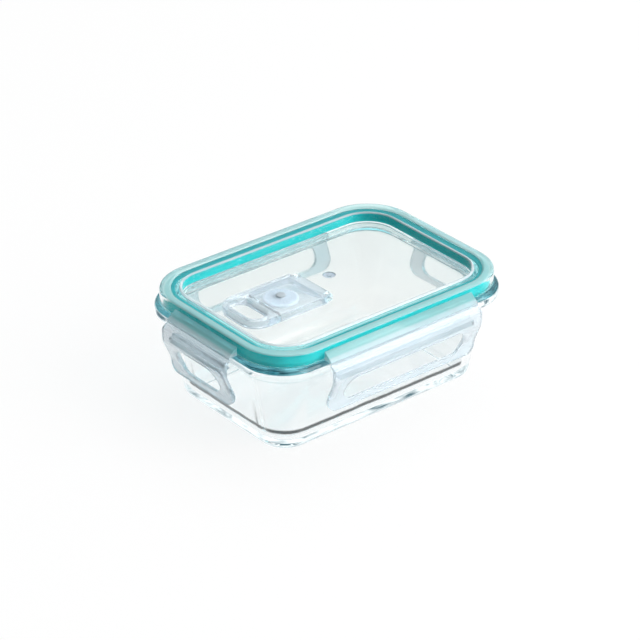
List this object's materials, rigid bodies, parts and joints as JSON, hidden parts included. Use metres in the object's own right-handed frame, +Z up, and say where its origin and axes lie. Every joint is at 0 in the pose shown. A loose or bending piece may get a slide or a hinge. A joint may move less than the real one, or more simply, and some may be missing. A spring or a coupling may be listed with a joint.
{
  "type": "glass lunch box",
  "caption": "Rectangular clear glass food box with a see-through snap-lock lid, a silicone seal, windowed side latches on living hinges and a flip-up vent flap.",
  "frame": {"origin": "middle of the foot, on the table", "axes": "+X along the length towards the end away from the vent flap, +Y along the width towards the back, +Z up"},
  "size_m": [0.155, 0.115, 0.055],
  "materials": {
    "glass": "clear pressed glass",
    "clear_lid": "clear moulded plastic, faintly frosted",
    "seal": "satin turquoise silicone",
    "clear_flap": "clear moulded plastic",
    "plug": "translucent silicone"
  },
  "bodies": {
    "tub": {"glass_container": "glass"},
    "lid": {"lid": "clear_lid", "lid_seal": "seal", "hinge_film_front": "clear_lid", "hinge_film_back": "clear_lid", "hinge_film_left": "clear_lid", "hinge_film_right": "clear_lid"},
    "latch_front": {"latch_front": "clear_lid"},
    "latch_back": {"latch_back": "clear_lid"},
    "latch_left": {"latch_left": "clear_lid"},
    "latch_right": {"latch_right": "clear_lid"},
    "vent": {"vent_flap": "clear_flap", "vent_plug": "plug"}
  },
  "joints": [
    {"name": "lid_lift", "type": "slide", "parent": "tub", "child": "lid", "axis": [0, 0, 1], "range_m": [0, 0.06]},
    {"name": "latch_front_hinge", "type": "hinge", "parent": "lid", "child": "latch_front", "pos_m": [0, -0.0544, 0.048], "axis": [-1, 0, 0], "range_deg": [-8, 120], "deforming": ["hinge_film_front"]},
    {"name": "latch_back_hinge", "type": "hinge", "parent": "lid", "child": "latch_back", "pos_m": [0, 0.0544, 0.048], "axis": [1, 0, 0], "range_deg": [-8, 120], "deforming": ["hinge_film_back"]},
    {"name": "latch_left_hinge", "type": "hinge", "parent": "lid", "child": "latch_left", "pos_m": [-0.0744, 0, 0.048], "axis": [0, 1, 0], "range_deg": [-8, 120], "deforming": ["hinge_film_left"]},
    {"name": "latch_right_hinge", "type": "hinge", "parent": "lid", "child": "latch_right", "pos_m": [0.0744, 0, 0.048], "axis": [0, -1, 0], "range_deg": [-8, 120], "deforming": ["hinge_film_right"]},
    {"name": "vent_flap_hinge", "type": "hinge", "parent": "lid", "child": "vent", "pos_m": [-0.009, 0, 0.0521], "axis": [0, 1, 0], "range_deg": [0, 100]}
  ]
}
